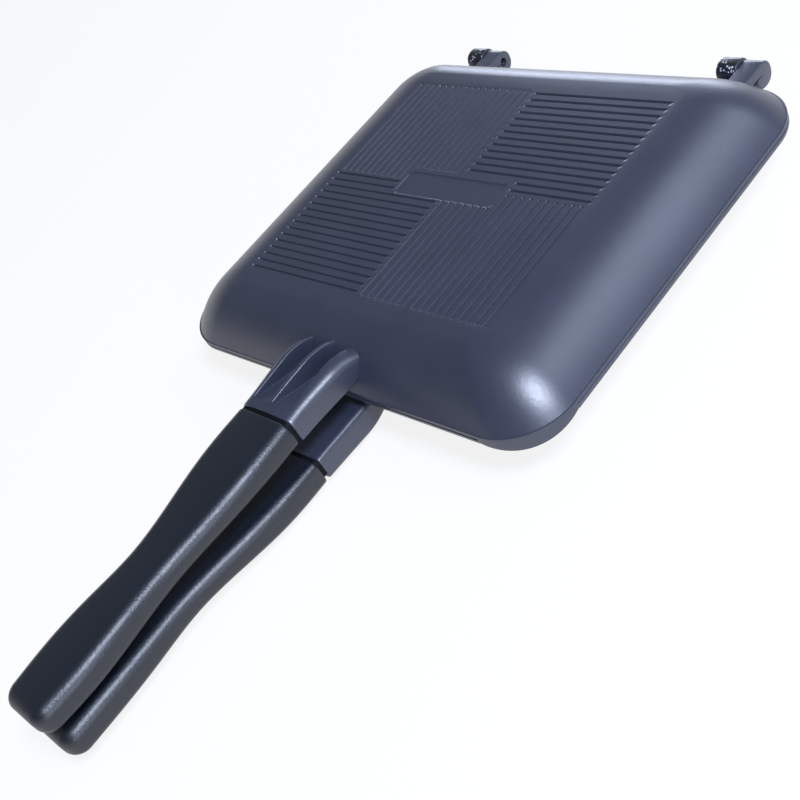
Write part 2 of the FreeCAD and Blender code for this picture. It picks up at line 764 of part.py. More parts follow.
def make_grip_screw(label):
    body = new_body(label)
    sketch = turned_sketch(body, "outline", "YZ_Plane", GRIP_SCREW_Y)
    seat = "(tang_level - grip_screw_seat)"
    top = "(tang_level + tang_thickness - parting_gap)"
    draw_outline(sketch, [
        ("0", seat + " - pan_head_height"),
        ("pan_head_diameter / 2", seat + " - pan_head_height"),
        ("pan_head_diameter / 2", seat),
        ("screw_diameter / 2", seat),
        ("screw_diameter / 2", top),
        ("0", top),
    ])
    revolve(body, sketch, "Revolution", "V_Axis")
    return body


def make_hinge_pin(label):
    body = new_body(label)
    sketch = new_sketch(body, "outline", "XY_Plane")
    bind(sketch, "AttachmentOffset.Base.y", HINGE_Y)
    near_face = "(%s + lug_gap / 2)" % LUG_JOINT
    free = "(%s - pin_reach)" % near_face
    held = "(%s + pin_seat)" % near_face
    radius = "pin_diameter / 2"
    draw_outline(sketch, [
        (free, "0"),
        (held, "0"),
        (held, radius + " - pin_chamfer"),
        (held + " - pin_chamfer", radius),
        (free + " + pin_chamfer", radius),
        (free, radius + " - pin_chamfer"),
    ])
    revolve(body, sketch, "Revolution", "H_Axis")
    return body


# Tang, spacer and grip

def make_tang(label):
    """The flat steel bar that carries the grip, with a threaded hole for each screw."""
    body = new_body(label)
    sketch = new_sketch(body, "outline", "XY_Plane", "tang_level")
    inner = "-(%s - tang_socket_depth)" % NECK_FRONT
    outer = "-(%s + tang_grip_depth)" % GRIP_START
    draw_outline(sketch, [
        ("-tang_width / 2", outer, "tang_corner"),
        ("tang_width / 2", outer, "tang_corner"),
        ("tang_width / 2", inner),
        ("-tang_width / 2", inner),
    ])
    pad(body, sketch, "tang_thickness")
    holes = new_sketch(body, "holes", "XY_Plane", "tang_level + tang_thickness + cut_overrun")
    draw_circle(holes, ("0", NECK_SCREW_Y), "screw_diameter / 2")
    draw_circle(holes, ("0", GRIP_SCREW_Y), "screw_diameter / 2")
    pocket(body, holes, "tang_thickness + 2 * cut_overrun")
    return body


def make_spacer(label):
    body = new_body(label)
    sketch = new_sketch(body, "outline", "XZ_Plane", NECK_FRONT)
    half = "(neck_width / 2 - spacer_inset)"
    draw_box(sketch, "-" + half, half, "neck_underside + spacer_inset",
             "neck_front_height - spacer_inset", "spacer_radius")
    draw_box(sketch, "-tang_width / 2", "tang_width / 2", "tang_level", "tang_level + tang_thickness")
    pad(body, sketch, "spacer_thickness")
    return body


def grip_section(body, name, station, place_along, drawn_in="0"):
    """One section of the grip. drawn_in is the share of the end's rounding that it has."""
    sketch = new_sketch(body, name, "XZ_Plane", place_along)
    half = "(grip_%s_half_width - grip_end_side * %s)" % (station, drawn_in)
    low = "(grip_%s_inner + grip_end_face * %s)" % (station, drawn_in)
    high = "(grip_%s_top - grip_end_face * %s)" % (station, drawn_in)
    inner_radius = "grip_root_inner_radius" if station == "root" else "grip_inner_radius"
    kept = "(1 - %s * %s)" % (END_CORNER_SHARE, drawn_in)
    draw_box(sketch, "-" + half, half, low, high,
             "%s * %s" % (inner_radius, kept), "grip_outer_radius * %s" % kept)
    return sketch


def make_grip(label):
    body = new_body(label)
    straight = "(grip_length - grip_end_round)"
    stations = []
    for station, share in GRIP_STATION_SHARES:
        place_along = "%s + %s * %s" % (GRIP_START, straight, share)
        stations.append(grip_section(body, station, station, place_along))
    loft(body, "shape", "AdditiveLoft", stations)
    rounds = []
    for step, share in enumerate(END_ROUND_SHARES):
        place_along = "%s + %s + grip_end_round * %s" % (GRIP_START, straight, share)
        drawn_in = "(1 - sqrt(1 - %s * %s))" % (share, share)
        rounds.append(grip_section(body, "round_%d" % step, "end", place_along, drawn_in))
    loft(body, "end", "AdditiveLoft", rounds)
    slot = new_sketch(body, "slot", "XZ_Plane", "%s + tang_grip_depth" % GRIP_START)
    draw_box(slot, "-tang_width / 2", "tang_width / 2", "tang_level", "tang_level + tang_thickness")
    pocket(body, slot, "tang_grip_depth + cut_overrun")
    screw = ("0", GRIP_SCREW_Y)
    for name, level, point, radius in (
            ("shank_hole", "tang_level", screw, "screw_diameter / 2 + screw_clearance"),
            ("head_hole", "tang_level - grip_screw_seat", screw,
             "pan_head_diameter / 2 + head_clearance"),
            ("magnet_hole", "%s + magnet_thickness" % MAGNET_LEVEL, ("0", MAGNET_Y),
             "magnet_diameter / 2 + magnet_clearance")):
        hole = new_sketch(body, name, "XY_Plane", level)
        draw_circle(hole, point, radius)
        pocket(body, hole, "tang_level")
    return body


MAGNET_Y = "-(%s + grip_length - magnet_setback)" % GRIP_START
MAGNET_LEVEL = "(grip_end_inner + cover_recess + cover_thickness)"


def make_disc(label, level, thickness):
    body = new_body(label)
    sketch = new_sketch(body, "outline", "XY_Plane", level)
    draw_circle(sketch, ("0", MAGNET_Y), "magnet_diameter / 2")
    pad(body, sketch, thickness)
    return body


# Both halves

def set_half(bodies, turned_over):
    """Lift a half to the parting height, turned over about Y for the lower one."""
    for body in bodies:
        turn = Rotation(Vector(0, 1, 0), 180) if turned_over else Rotation()
        body.Placement = Placement(Vector(0, 0, number("pan_depth")), turn)
        bind(body, "Placement.Base.z", "pan_depth")


casting = make_casting()
upper_half = [
    make_upper_pan(),
    make_spacer("upper_spacer"),
    make_tang("upper_tang"),
    make_neck_screw("upper_neck_screw"),
    make_grip("upper_grip"),
    make_grip_screw("upper_grip_screw"),
    make_disc("upper_magnet", MAGNET_LEVEL, "magnet_thickness"),
    make_disc("upper_magnet_cover", "(%s - cover_thickness)" % MAGNET_LEVEL, "cover_thickness"),
]
lower_half = [make_lower_pan()]
for body in upper_half[1:]:
    lower_half.append(copy_body(body, body.Label.replace("upper", "lower")))
upper_half.append(make_hinge_pin("right_hinge_pin"))
lower_half.append(copy_body(upper_half[-1], "left_hinge_pin"))
set_half(upper_half, False)
set_half(lower_half, True)
doc.recompute()

failed = [item.Name for item in doc.Objects if "Invalid" in item.State or "Error" in item.State]
if failed:
    raise RuntimeError("failed objects: " + ", ".join(failed))
for body in upper_half + lower_half:
    if body.Shape.isNull() or not body.Shape.isValid() or len(body.Shape.Solids) != 1:
        raise RuntimeError("bad shape: " + body.Label)

os.makedirs("parts", exist_ok=True)
for body in upper_half + lower_half:
    body.Shape.exportStep("parts/%s.step" % body.Label)
    print(body.Label, round(body.Shape.Volume), body.Shape.BoundBox)
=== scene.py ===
"""Looks of a folding pie iron: two coated cast pans with necks, grips and a hinge."""

from __future__ import annotations

import logging
import math
from dataclasses import dataclass, field
from enum import Enum
from typing import Any

import bmesh
import bpy
import numpy as np
from bpy.types import ID, Material, NodeOutputs, NodeSocket, NodeTree, Object
from mathutils import Euler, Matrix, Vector


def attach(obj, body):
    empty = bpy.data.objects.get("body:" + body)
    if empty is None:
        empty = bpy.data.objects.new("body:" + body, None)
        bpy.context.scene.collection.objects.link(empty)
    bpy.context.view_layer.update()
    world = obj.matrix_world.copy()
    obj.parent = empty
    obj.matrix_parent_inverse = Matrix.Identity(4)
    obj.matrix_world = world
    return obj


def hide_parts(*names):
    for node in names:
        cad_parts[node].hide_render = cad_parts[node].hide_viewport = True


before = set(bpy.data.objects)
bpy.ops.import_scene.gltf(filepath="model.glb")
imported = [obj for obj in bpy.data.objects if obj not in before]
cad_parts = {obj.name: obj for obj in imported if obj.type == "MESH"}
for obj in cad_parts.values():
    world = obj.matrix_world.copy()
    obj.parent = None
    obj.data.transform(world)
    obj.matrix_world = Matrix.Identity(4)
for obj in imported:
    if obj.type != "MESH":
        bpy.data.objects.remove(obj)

Array = np.ndarray
Pair = tuple[float, float]
log = logging.getLogger("pie_iron")

MM = 0.001
PARTING = 20.6  # height of the parting plane over the lower pan's flat base, in mm
MERGE = 1e-6  # points of one piece that are closer than this are one, in metres
CREASE_DEG = 35.0  # edges that turn by more than this stay sharp
CORNER_STEPS = 26  # points on each corner of a pan's ring
SIDE_STEPS = 22  # points on each of its sides
SKIRT_RINGS = slice(3, 6)  # rings of the lip's underside, the first one at its outer edge
WORN_SHARE = 0.29  # how far in a 45 degree point of a rounding stands, over its radius
EDGE_SHARES = np.array([0.0, 0.13, 0.5, 1.0])  # rows across a rounded edge


class Half(Enum):
    """The two halves. Both are drawn in one frame whose Z = 0 is the parting plane."""

    UPPER = "upper"
    LOWER = "lower"

    def place(self, points: Array) -> Array:
        """Lift the upper half, or turn the lower half over about Y, and turn mm into metres.

        Args:
            points: points in the half frame, in millimetres.

        Returns:
            The same points in the world, in metres.
        """
        turn = 1.0 if self is Half.UPPER else -1.0
        return (points * (turn, 1.0, turn) + (0.0, 0.0, PARTING)) * MM


class Slot(Enum):
    """Names of the record's material slots."""

    COATING = "cast_coating"
    GRIP = "grip_plastic"


# Colours and nodes


def linear(hex_colour: str) -> tuple[float, float, float, float]:
    """Turn an sRGB hex value into Blender's linear colour.

    Args:
        hex_colour: six hex digits, such as "40455d".

    Returns:
        Linear red, green, blue and an alpha of 1.
    """
    parts = [int(hex_colour[i:i + 2], 16) / 255 for i in (0, 2, 4)]
    red, green, blue = (
        part / 12.92 if part <= 0.04045 else ((part + 0.055) / 1.055) ** 2.4 for part in parts)
    return red, green, blue, 1.0


def add_node(tree: NodeTree, kind: str, inputs: dict[str | int, Any] | None = None,
             **settings: Any) -> NodeOutputs:
    """Add a node, set its properties, and fill or link its inputs.

    Args:
        tree: the node tree that gets the node.
        kind: its type after "ShaderNode", such as "Bump".
        inputs: a value, or the socket to link from, for each named input.
        settings: properties of the node itself.

    Returns:
        The new node's outputs.
    """
    node = tree.nodes.new(f"ShaderNode{kind}")
    for name, value in settings.items():
        setattr(node, name, value)
    for name, value in (inputs or {}).items():
        if isinstance(value, NodeSocket):
            tree.links.new(value, node.inputs[name])
        else:
            node.inputs[name].default_value = value
    return node.outputs


def new_material(name: str) -> tuple[Material, NodeTree]:
    """Make a node material that is still empty, and give it with its node tree."""
    material = bpy.data.materials.new(name)
    material.use_nodes = True
    material.node_tree.nodes.clear()
    return material, material.node_tree


def end_material(tree: NodeTree, tones: tuple[Any, Any, Any], relief: NodeSocket, rough: Pair,
                 bump: Pair, **inputs: float) -> None:
    """Add the shader, whose roughness and fine relief follow one pattern.

    Args:
        tree: the material's nodes.
        tones: share of the second colour, and both colours.
        relief: the pattern, from 0 to 1.
        rough: roughness where it is 0 and where it is 1.
        bump: strength of the relief and its height in metres.
        inputs: the shader's other inputs, with _ for each blank in their names.
    """
    colour = add_node(tree, "Mix", dict(zip(("Factor", "A", "B"), tones)), data_type="RGBA")
    roughness = add_node(tree, "MapRange", {
        "Value": relief, "To Min": rough[0], "To Max": rough[1]})
    normal = add_node(tree, "Bump", {"Strength": bump[0], "Distance": bump[1], "Height": relief})
    shader = add_node(tree, "BsdfPrincipled", {
        "Base Color": colour["Result"], "Roughness": roughness["Result"],
        "Normal": normal["Normal"],
        **{name.replace("_", " "): value for name, value in inputs.items()}})
    add_node(tree, "OutputMaterial", {"Surface": shader["BSDF"]})


def add_object(name: str, data: ID) -> Object:
    """Link a new object with its mesh, lamp or camera to the scene."""
    item = bpy.data.objects.new(name, data)
    bpy.context.scene.collection.objects.link(item)
    return item


def per_metre(size_mm: float) -> float:
    """Texture scale at which one feature is size_mm across."""
    return 1.0 / (size_mm * MM)


# Surfaces


class Surface:
    """A closed surface in half-frame millimetres, gathered from grids and poles."""

    def __init__(self) -> None:
        self.points: list[Array] = []
        self.faces: list[list[int]] = []
        self.inside: list[Array] = []

    def add_points(self, points: Array, inside: Array | float) -> Array:
        """Take in points.

        Args:
            points: an array whose last axis is x, y, z.
            inside: 1 where the surface has the inner coat, 0 where it has the outer one.

        Returns:
            Their numbers, in the same shape.
        """
        shape = points.shape[:-1]
        numbers = sum(map(len, self.points)) + np.arange(math.prod(shape)).reshape(shape)
        self.points.append(points.reshape(-1, 3))
        self.inside.append(np.broadcast_to(inside, shape).ravel())
        return numbers

    def add_grid(self, points: Array, inside: Array | float = 0.0, closed: bool = True) -> Array:
        """Join a grid of points with quads.

        Args:
            points: rows, columns and x, y, z.
            inside: share of the inner coat at each point.
            closed: whether the last column joins the first.

        Returns:
            The points' numbers, rows by columns.
        """
        numbers = self.add_points(points, inside)
        around = np.concatenate([numbers, numbers[:, :1]], axis=1) if closed else numbers
        quads = np.stack([around[:-1, :-1], around[:-1, 1:], around[1:, 1:], around[1:, :-1]], -1)
        self.faces.extend(quads.reshape(-1, 4).tolist())
        return numbers

    def add_pole(self, ring: Array, point: tuple[float, ...], inside: float = 0.0) -> None:
        """Close a ring with triangles that meet in one point.

        Args:
            ring: numbers of the ring's points, in order.
            point: where the triangles meet.
            inside: share of the inner coat at that point.
        """
        pole = self.add_points(np.array([point], dtype=float), inside)
        fans = np.stack([ring, np.roll(ring, -1), np.broadcast_to(pole, ring.shape)], -1)
        self.faces.extend(fans.tolist())

    @classmethod
    def along_y(cls, outline: Array, y: Array, middle: Array) -> Surface:
        """Join cross-sections along Y, and close the first and the last one.

        Args:
            outline: sections by points by x and z.
            y: place of each section.
            middle: height of each section's middle.

        Returns:
            The closed surface.
        """
        surface = cls()
        numbers = surface.add_grid(np.insert(outline, 1, y[:, None], axis=-1))
        for end in (0, -1):
            surface.add_pole(numbers[end], (0.0, y[end], middle[end]))
        return surface

    def build(self, half: Half, name: str, node: str, slot: Slot, material: Material) -> None:
        """Make the object: merge doubles, point the faces outwards and shade it smooth.

        Args:
            half: the half that it belongs to.
            name: the piece's name after the half's.
            node: the CAD node that it stands for, likewise.
            slot: not used.
            material: its finish.
        """
        name, node = f"{half.value}_{name}", f"{half.value}_{node}"
        mesh = bpy.data.meshes.new(name)
        points = half.place(np.concatenate(self.points))
        mesh.from_pydata(points.tolist(), [], self.faces)
        shares = mesh.attributes.new("inside", "FLOAT", "POINT")
        shares.data.foreach_set("value", np.concatenate(self.inside).astype(np.float32))
        work = bmesh.new()
        work.from_mesh(mesh)
        bmesh.ops.remove_doubles(work, verts=work.verts, dist=MERGE)
        bmesh.ops.recalc_face_normals(work, faces=work.faces)
        work.to_mesh(mesh)
        work.free()
        mesh.shade_smooth()
        mesh.set_sharp_from_angle(angle=math.radians(CREASE_DEG))
        mesh.materials.append(material)
        piece = add_object(name, mesh)
        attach(piece, f"{half.value}_half")
        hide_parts(node)
        log.info("%s: %d faces, stands for %s", name, len(mesh.polygons), node)


def arc(centre: tuple[Any, Any], radius: Any, start_deg: float, end_deg: float,
        steps: int, height: Any = None) -> Array:
    """Points on an arc: centre + radius * (cos, sin) of an angle that grows evenly.

    Args:
        centre: its x and z, as numbers or as one number for each row.
        radius: its radius, likewise.
        start_deg: first angle.
        end_deg: last angle.
        steps: number of points.
        height: its radius in z, where the arc is squeezed.

    Returns:
        Rows by steps by x and z.
    """
    turn = np.radians(np.linspace(start_deg, end_deg, steps))
    x, z, width, height = (
        np.atleast_1d(np.asarray(part, dtype=float))[:, None]
        for part in (*centre, radius, radius if height is None else height))
    return np.stack(np.broadcast_arrays(x + width * np.cos(turn), z + height * np.sin(turn)), -1)


def level_run(reach: Array | float, level: Array, shares: Array) -> Array:
    """Points across each row at its level: x = reach * share."""
    return np.stack(np.broadcast_arrays(np.multiply.outer(reach, shares), level[:, None]), -1)


def ease(share: Array) -> Array:
    """Smooth step: 3 s^2 - 2 s^3, held at 0 and 1 outside."""
    held = np.clip(share, 0.0, 1.0)
    return held * held * (3.0 - 2.0 * held)


def round_in(share: Array) -> Array:
    """How far a quarter circle has drawn in: 1 - sqrt(1 - s^2), held at 0 and 1 outside."""
    held = np.clip(share, 0.0, 1.0)
    return 1.0 - np.sqrt(1.0 - held * held)


def rectangle_rings(half: Array, radius: Array) -> Array:
    """Rounded rectangles, one for each row, all with the same stations.

    Each corner is its centre plus radius * (cos, sin), and each side runs straight from the
    end of one corner to the start of the next. Both hold their end points.

    Args:
        half: half of each rectangle's width and length.
        radius: its corner radius.

    Returns:
        Rings by stations by x and y. Stations start with the corner at +x, +y.
    """
    turn = (np.arange(4)[:, None] + np.linspace(0.0, 1.0, CORNER_STEPS)) * math.pi / 2
    signs = np.array([[1.0, -1.0, -1.0, 1.0], [1.0, 1.0, -1.0, -1.0]])[..., None]
    size = radius[:, None, None]
    corners = np.stack([
        sign * (reach[:, None, None] - size) + size * wave
        for sign, reach, wave in zip(signs, half.T, (np.cos(turn), np.sin(turn)))], -1)
    start, stop = corners[:, :, -1:], np.roll(corners, -1, axis=1)[:, :, :1]
    sides = start + (stop - start) * np.linspace(0.0, 1.0, SIDE_STEPS)[:, None]
    return np.concatenate([corners, sides], axis=2).reshape(len(half), -1, 2)


# Pans


@dataclass(frozen=True)
class GrooveSet:
    """Straight grooves side by side, all of one length."""

    along_x: bool
    start: float  # where each groove starts, along itself
    stop: float
    first: float  # middle of the first groove, across itself
    pitch: float
    count: int


@dataclass
class Grooves:
    """Pattern of grooves: along X far right and near left, along Y in the other two quarters."""

    width: float = 1.1
    depth: float = 0.8
    soft: float = 0.24  # half the width over which an edge rounds off
    pitch: float = 4.0
    column_start: float = 2.2
    column_pitch: float = 4.05
    reach_x: float = 69.2
    reach_y: float = 61.2
    middle_gap: float = 1.3
    plate_x: float = 29.4
    plate_far: float = 9.2
    plate_near: float = 6.9
    rows_far: int = 15
    rows_near: int = 16
    columns: int = 17
    short_rows: int = 2
    short_columns: int = 7

    def sets(self) -> list[GrooveSet]:
        """List the eight sets, with the ones that stop at the plate apart."""
        pitch, short, gap = self.pitch, self.short_rows, self.middle_gap
        far, near, wide = self.reach_x, self.reach_y, self.plate_x
        step, few, first = self.column_pitch, self.short_columns, self.column_start
        rest = self.columns - few
        return [GrooveSet(*numbers) for numbers in (
            (True, wide, far, pitch, pitch, short),
            (True, gap, far, pitch * (1 + short), pitch, self.rows_far - short),
            (True, -far, -wide, pitch * (1 - short), pitch, short),
            (True, -far, -gap, pitch * (1 - self.rows_near), pitch, self.rows_near - short),
            (False, -near, -self.plate_near, first, step, few),
            (False, -near, gap, first + step * few, step, rest),
            (False, self.plate_far, near, -first - step * (few - 1), step, few),
            (False, gap + self.width / 2, near, -first - step * (self.columns - 1), step, rest))]

    def lines(self, along_x: bool) -> Array:
        """Grid lines across one direction: seven for each groove, three for each row of ends.

        Args:
            along_x: True for the lines at fixed y, which cut the grooves along X.

        Returns:
            Places of the lines, in no order.
        """
        ends = np.array([-self.soft, 0.0, self.soft])
        across = np.append(np.add.outer([-self.width / 2, self.width / 2], ends), 0.0)
        places = []
        for group in self.sets():
            if group.along_x == along_x:
                centres = group.first + group.pitch * np.arange(group.count)
                places.append(np.add.outer(centres, across).ravel())
            else:
                places.append(np.add.outer([group.start, group.stop], ends).ravel())
        return np.concatenate(places)

    def cut(self, x: Array, y: Array) -> Array:
        """Depth of the pattern: the deepest of all sets, each across-profile times end-profile.

        The across-profile eases from 1 to 0 over the edge of the nearest groove, and the
        end-profile eases likewise over the groove's ends.

        Args:
            x: place across X.
            y: place along Y.

        Returns:
            Depth below the flat face, in mm.
        """
        deepest = np.zeros(np.broadcast(x, y).shape)
        for group in self.sets():
            across, along = (y, x) if group.along_x else (x, y)
            number = np.clip(np.round((across - group.first) / group.pitch), 0, group.count - 1)
            off = np.abs(across - group.first - group.pitch * number)
            side = ease((self.width / 2 + self.soft - off) / (2 * self.soft))
            into = np.minimum(along - group.start, group.stop - along)
            end = ease((into + self.soft) / (2 * self.soft))
            deepest = np.maximum(deepest, self.depth * side * end)
        return deepest


@dataclass
class Pan:
    """One cast pan: grooved crown, domed wall, lip, meeting face and cooking cavity."""

    half: Half
    width: float = 210.0
    length: float = 187.0
    depth: float = 20.6
    gap: float = 0.15  # from the parting plane to this pan's meeting face
    lip_height: float = 1.8
    lip_ledge: float = 0.5
    lip_bevel: float = 0.4
    lip_round: float = 0.3  # worn, coated edge of the lip
    rim_radius: float = 25.8
    crown_radius: float = 8.0
    dome_run_x: float = 32.6
    dome_run_y: float = 23.7
    foot_angle: float = 32.0
    crown_angle: float = 2.0
    land: float = 6.0
    cavity_depth: float = 16.8
    cavity_run_x: float = 30.0
    cavity_run_y: float = 21.5
    cavity_angle: float = 52.0
    cavity_radius: float = 9.0
    skirt_wall: float = 2.0
    skirt_drop: float = 5.0
    skirt_end_drop: float = 1.6
    skirt_clearance: float = 0.4
    insert_x: float = 70.6  # half sizes of the grooved crown's grid
    insert_y: float = 63.2
    insert_depth: float = 1.6
    recess_x: float = 27.5
    recess_y: float = 6.6
    recess_depth: float = 0.35
    recess_corner: float = 2.0
    line_step: float = 0.06  # grid lines of the crown that are closer than this are one
    dome_rings: int = 34
    cavity_rings: int = 22
    grooves: Grooves = field(default_factory=Grooves)

    def wall(self, angle: float, steps: int, foot: tuple[float, ...],
             top: tuple[float, ...]) -> Array:
        """Rings of a wall whose slope falls evenly from angle to the crown's angle.

        Inward share is (sin a - sin s) / (sin a - sin c) and upward share is
        (cos s - cos a) / (cos c - cos a), for slope s, first angle a and crown angle c.

        Args:
            angle: slope at the foot, in degrees.
            steps: number of rings.
            foot: inset in x and in y, corner radius and level of the first ring.
            top: those of the last ring.

        Returns:
            Those of every ring.
        """
        first, last = math.radians(angle), math.radians(self.crown_angle)
        slope = first + (last - first) * np.linspace(0.0, 1.0, steps)
        inward = (math.sin(first) - np.sin(slope)) / (math.sin(first) - math.sin(last))
        upward = (np.cos(slope) - math.cos(first)) / (math.cos(last) - math.cos(first))
        return foot + np.subtract(top, foot) * np.stack([inward, inward, inward, upward], -1)

    def crown(self) -> Surface:
        """Grooved plate: a grid of uneven lines, height = depth - grooves - recess.

        Returns:
            The closed plate.
        """
        soft = self.grooves.soft
        edge = np.array([-soft, 0.0, soft])
        lines = []
        for along_x, reach, recess in ((False, self.insert_x, self.recess_x),
                                       (True, self.insert_y, self.recess_y)):
            places = np.concatenate([
                self.grooves.lines(along_x), [-reach, reach], recess + edge, -recess + edge])
            places = np.unique(np.round(places, 3))
            keep = np.append(True, np.diff(places) > self.line_step)
            places = places[keep & (np.abs(places) <= reach)]
            places[0], places[-1] = -reach, reach
            lines.append(places)
        x, y = np.meshgrid(*lines)
        top = self.depth - self.grooves.cut(x, y)
        if self.half is Half.UPPER:
            top -= self.recess_cut(x, y)
        surface = Surface()
        numbers = surface.add_grid(np.stack([x, y, top], -1), closed=False)
        border = np.concatenate([numbers[0, :-1], numbers[:-1, -1], numbers[-1, :0:-1],
                                 numbers[:0:-1, 0]])
        base = (0.0, 0.0, self.depth - self.insert_depth)
        points = surface.points[0][border]
        sides = surface.add_grid(np.stack([points, points * (1.0, 1.0, 0.0) + base]))
        surface.add_pole(sides[1], base)
        return surface

    def recess_cut(self, x: Array, y: Array) -> Array:
        """Depth of the plate's recess, eased over its edge by the distance to a rounded box.

        Args:
            x: place across X.
            y: place along Y.

        Returns:
            Depth in mm.
        """
        over_x = np.abs(x) - self.recess_x + self.recess_corner
        over_y = np.abs(y) - self.recess_y + self.recess_corner
        outside = np.hypot(np.maximum(over_x, 0.0), np.maximum(over_y, 0.0))
        distance = outside + np.minimum(np.maximum(over_x, over_y), 0.0) - self.recess_corner
        soft = self.grooves.soft
        return self.recess_depth * ease((soft - distance) / (2 * soft))

    def rings(self) -> tuple[Array, slice]:
        """Nested rings from the crown over dome, lip and cavity wall to the cavity's floor.

        Returns:
            Inset in x and in y, corner radius and level of each ring, and which form the lip.
        """
        half_x, half_y = self.width / 2, self.length / 2
        lip_top = self.gap + self.lip_height
        insert = [[half_x - self.insert_x, half_y - self.insert_y, 0.0, level]
                  for level in (self.depth - self.insert_depth, self.depth)]
        ledge = self.lip_ledge
        dome = self.wall(
            self.foot_angle, self.dome_rings, (ledge, ledge, self.rim_radius, lip_top),
            (ledge + self.dome_run_x, ledge + self.dome_run_y, self.crown_radius, self.depth))
        worn, low = self.lip_round, self.lip_round * WORN_SHARE
        inset = np.array([worn, low, 0.0, 0.0, self.lip_bevel, self.skirt_wall - worn,
                          self.skirt_wall, self.land])
        level = np.array([lip_top, lip_top - low, lip_top - worn, self.gap + self.lip_bevel,
                          *[self.gap] * 4])
        lip = np.stack([inset, inset, self.rim_radius - inset, level], -1)
        land = self.land
        cavity = self.wall(
            self.cavity_angle, self.cavity_rings, (land, land, self.rim_radius - land, self.gap),
            (land + self.cavity_run_x, land + self.cavity_run_y, self.cavity_radius,
             self.cavity_depth))[1:]
        # The floor's rings shrink the last one towards the middle.
        middle = np.array([half_x, half_y, 0.0, cavity[-1, 3]])
        floor = middle + (cavity[-1] - middle) * np.array([0.75, 0.5, 0.25])[:, None]
        first = len(insert) + len(dome)
        return (np.concatenate([insert, dome[::-1], lip, cavity, floor]),
                slice(first, first + len(lip)))

    def shell(self) -> Surface:
        """Everything but the crown. The lip has the upper pan's skirt or the lower one's notch.

        Returns:
            The closed shell.
        """
        rings, lip = self.rings()
        flat = rectangle_rings((self.width / 2, self.length / 2) - rings[:, :2], rings[:, 2])
        level = np.broadcast_to(rings[:, 3:], flat.shape[:2]).copy()
        if self.half is Half.UPPER:
            self.hang_skirt(level[lip])
        else:
            self.cut_notch(flat[:lip.stop], level[:lip.stop])
        inside = np.zeros(flat.shape[:2])
        inside[lip.stop - 1:] = 1.0
        surface = Surface()
        numbers = surface.add_grid(np.insert(flat, 2, level, axis=-1), inside)
        surface.add_pole(numbers[0], (0.0, 0.0, self.depth - self.insert_depth))
        surface.add_pole(numbers[-1], (0.0, 0.0, self.cavity_depth), 1.0)
        return surface

    def corner_stations(self, corner: int) -> slice:
        """Stations of one corner of the rings: 2 is the left front one, 3 the right front one."""
        first = corner * (CORNER_STEPS + SIDE_STEPS)
        return slice(first, first + CORNER_STEPS)

    def hang_skirt(self, level: Array) -> None:
        """Lower the lip's underside in the right front corner.

        The drop falls evenly with the distance along the corner's diagonal, from its middle,
        where that is the radius, to its ends, where it is radius / sqrt 2.

        Args:
            level: height of the stations of the lip's rings, changed in place.
        """
        angle = np.linspace(-math.pi / 4, math.pi / 4, CORNER_STEPS)
        ends = 1.0 / math.sqrt(2.0)
        share = (np.cos(angle) - ends) / (1.0 - ends)
        low = level[SKIRT_RINGS, self.corner_stations(3)]
        low[:] = -(self.skirt_end_drop + (self.skirt_drop - self.skirt_end_drop) * share)
        low[0] += self.lip_round

    def cut_notch(self, flat: Array, level: Array) -> None:
        """Draw the rim's corner in, to make room for the other pan's skirt.

        Points of the left front corner that are lower than the skirt reaches, and further
        from the corner's centre than its inner side, move straight in to that radius.

        Args:
            flat: x and y of the stations of the rings out to the lip, changed in place.
            level: height of the same stations.
        """
        stations = self.corner_stations(2)
        reach = self.rim_radius - self.skirt_wall - self.skirt_clearance
        centre = np.array([self.rim_radius - self.width / 2, self.rim_radius - self.length / 2])
        off = flat[:, stations] - centre
        distance = np.linalg.norm(off, axis=-1)
        low = level[:, stations] < self.skirt_drop + self.skirt_clearance
        share = np.where(low & (distance > reach), reach / np.maximum(distance, reach), 1.0)
        flat[:, stations] = centre + off * share[..., None]


